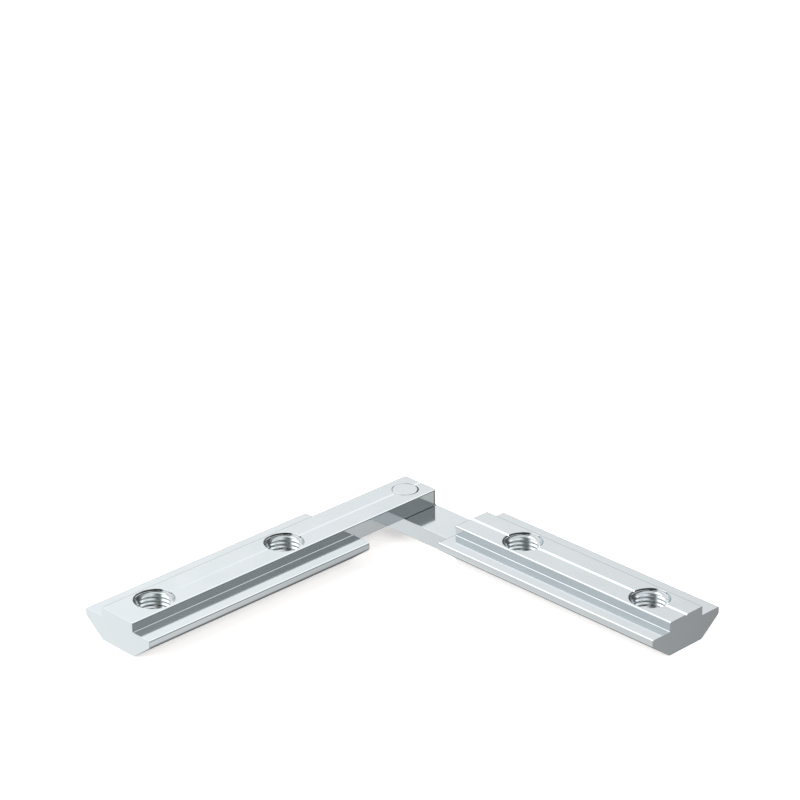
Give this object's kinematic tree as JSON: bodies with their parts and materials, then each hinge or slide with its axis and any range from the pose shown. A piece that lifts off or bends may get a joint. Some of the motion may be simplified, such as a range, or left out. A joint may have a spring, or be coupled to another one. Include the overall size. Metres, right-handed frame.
{
  "type": "hinged profile connector",
  "caption": "Hinged connector for slotted profiles: slot-bar legs with threaded holes, lapped at half height and joined by a flush rivet so that they turn to any angle.",
  "frame": {"origin": "on the pivot axis, in the plane of the flat base that both legs stand on", "axes": "+Z along the pivot, from the base towards the necks and the mouths of the threaded holes; +X from the pivot along the upper leg; +Y from the pivot along the lower leg at rest"},
  "size_m": [0.0742, 0.0742, 0.0062],
  "materials": {
    "zinc_plated_bar": "bright bluish zinc plating on cold drawn steel, polished to a soft mirror",
    "zinc_plated_rivet": "bright zinc plating, faced flush"
  },
  "bodies": {
    "lower": {"lower_leg": "zinc_plated_bar", "pivot_rivet": "zinc_plated_rivet"},
    "upper": {"upper_leg": "zinc_plated_bar"}
  },
  "joints": [
    {"name": "pivot", "type": "hinge", "parent": "lower", "child": "upper", "pos_m": [0, 0, 0.0031], "axis": [0, 0, 1], "range_deg": [-215, 35]}
  ]
}
